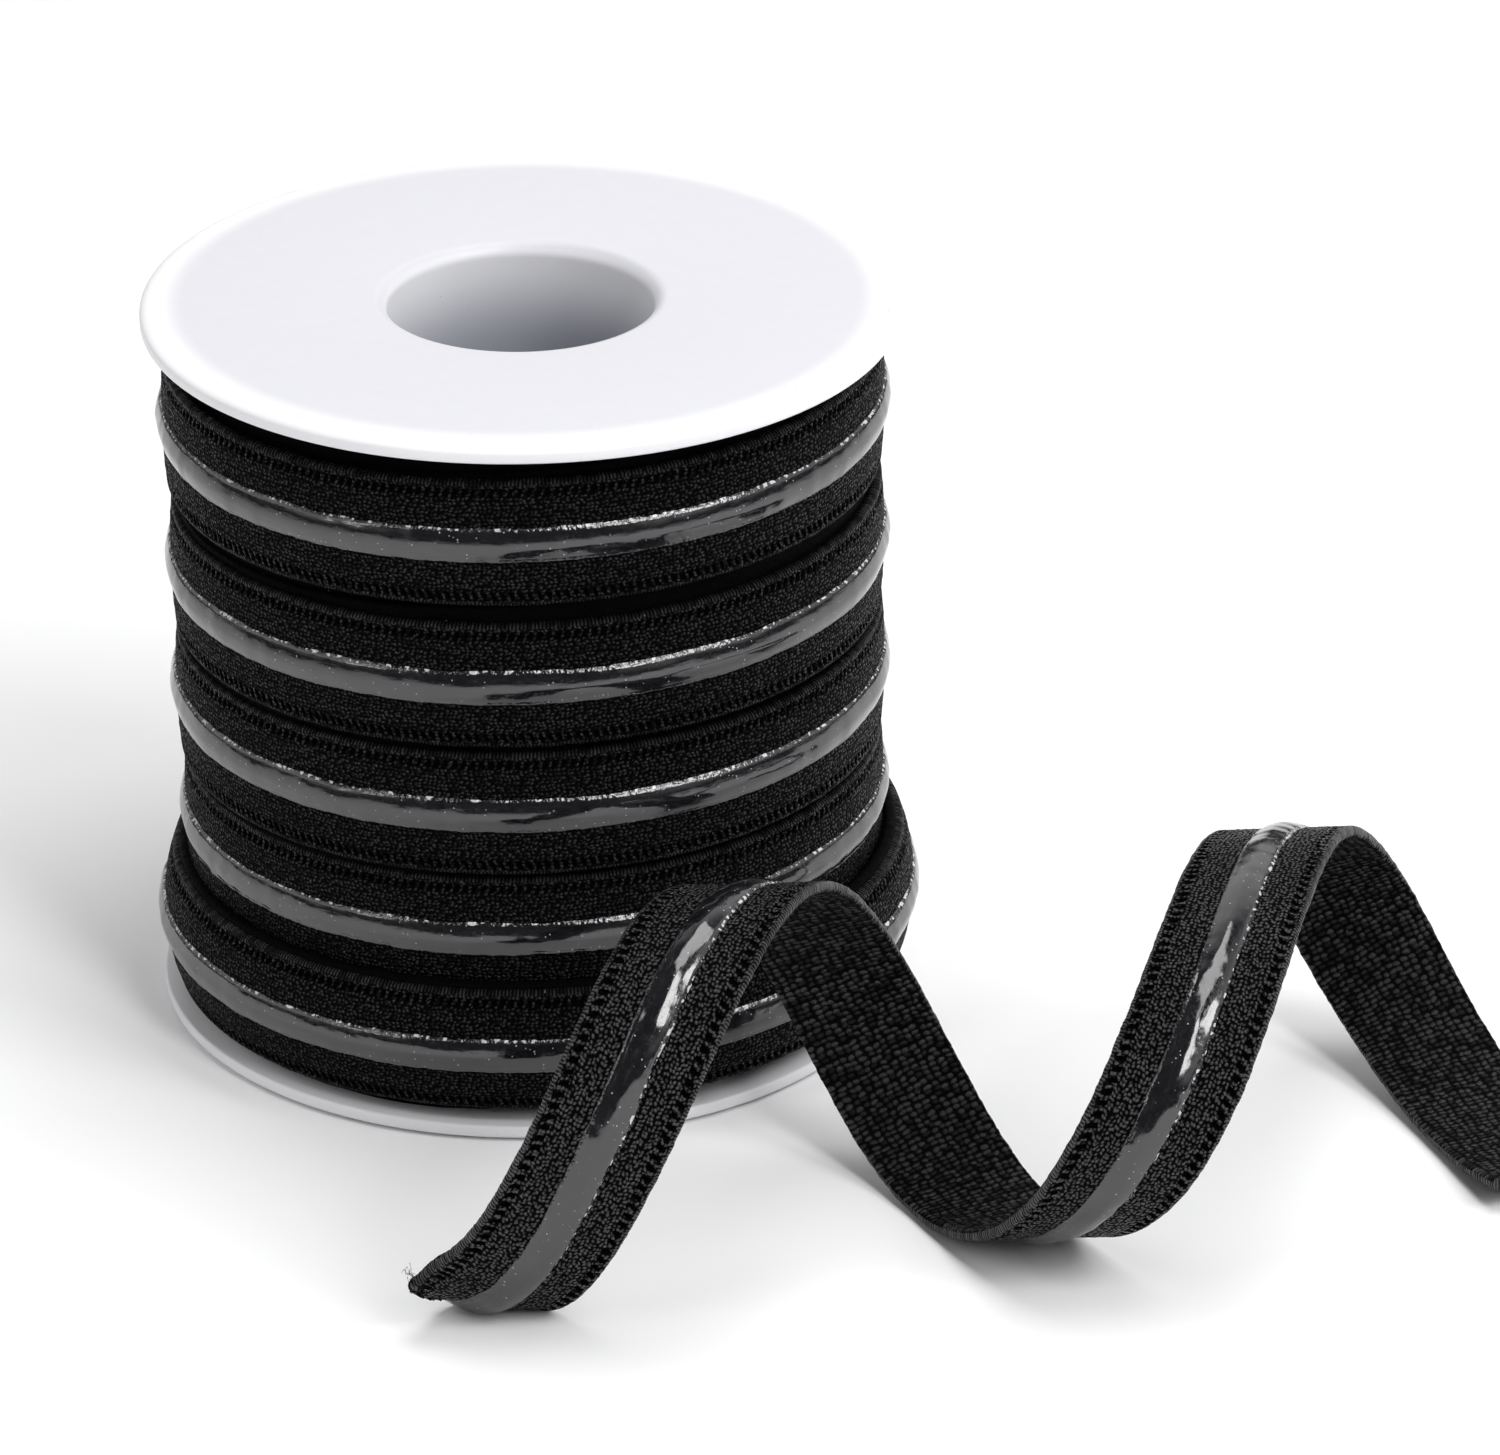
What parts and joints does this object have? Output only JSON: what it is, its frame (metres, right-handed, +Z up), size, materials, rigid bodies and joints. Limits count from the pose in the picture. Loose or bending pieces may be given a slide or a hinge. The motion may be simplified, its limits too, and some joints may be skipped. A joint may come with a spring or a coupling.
{
  "type": "reel of elastic",
  "caption": "Plastic spool wound with black woven elastic that has a raised silicone grip strip, and a loose cut length of it lying in an open spiral.",
  "frame": {"origin": "on the surface it stands on, under the middle of the box round the reel and the loose length", "axes": "+Z up along the spool's axis, +X along the pull of the loose spiral, -Y the side with the loose length in front"},
  "size_m": [0.1648, 0.1328, 0.0854],
  "materials": {
    "spool_plastic": "smooth moulded white, softly glossy",
    "elastic": "black woven elastic with corded ribbed edges",
    "silicone": "glossy see-through silicone, dark grey over the black weave"
  },
  "bodies": {
    "root": {"spool": "spool_plastic", "wound_elastic": "elastic", "silicone_on_bands": "silicone", "silicone_on_last_turn": "silicone", "loose_length": "elastic", "silicone_on_loose_length": "silicone"}
  },
  "joints": []
}
